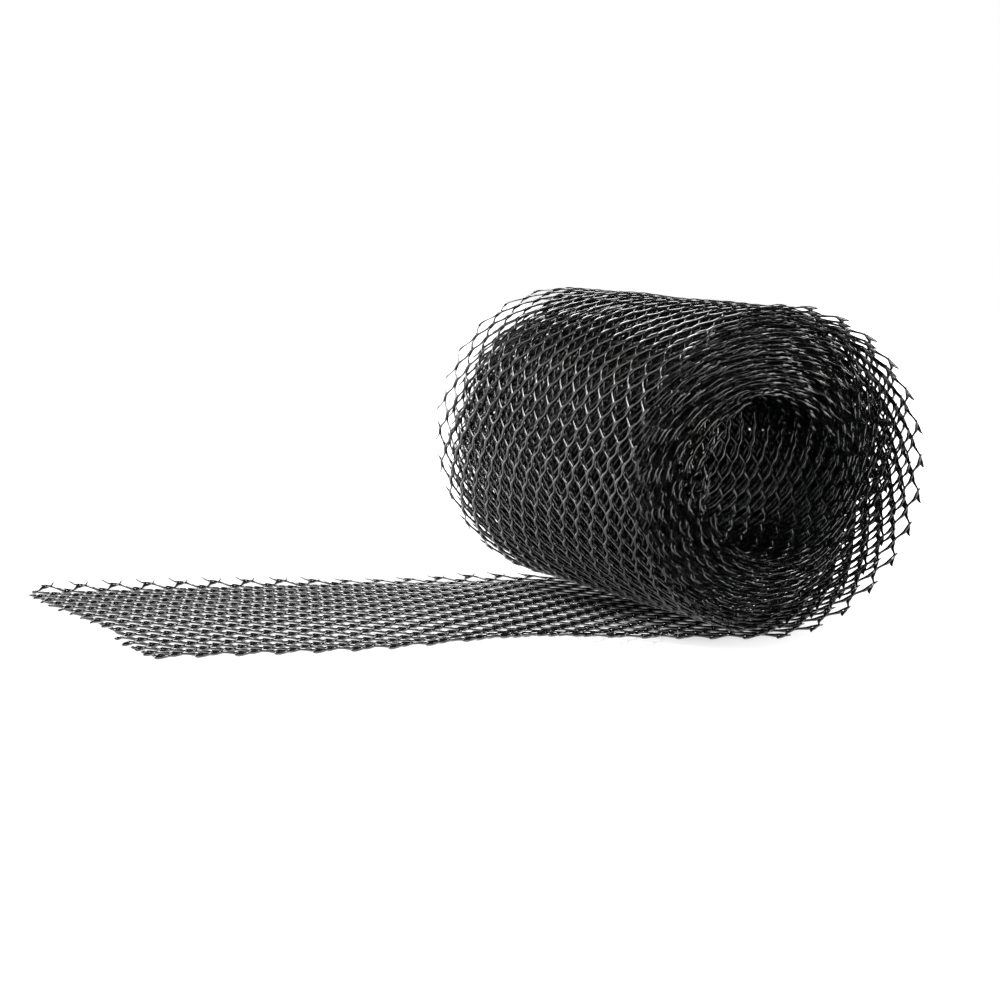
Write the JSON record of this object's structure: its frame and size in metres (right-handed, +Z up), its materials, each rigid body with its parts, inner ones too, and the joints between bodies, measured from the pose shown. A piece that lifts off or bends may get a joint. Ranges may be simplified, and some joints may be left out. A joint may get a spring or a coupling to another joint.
{
  "type": "gutter guard netting roll",
  "caption": "Black plastic diamond-mesh gutter guard strip wound into an open-cored roll, with its free end lying unrolled on the floor.",
  "frame": {"origin": "on the floor, straight under the roll's axis, at the middle of the strip's width", "axes": "+X away from the unrolled tail, +Y along the roll's axis, +Z up"},
  "size_m": [0.2742, 0.17, 0.1124],
  "materials": {
    "netting": "satin extruded polyethylene"
  },
  "bodies": {
    "root": {"netting_roll": "netting"}
  },
  "joints": []
}
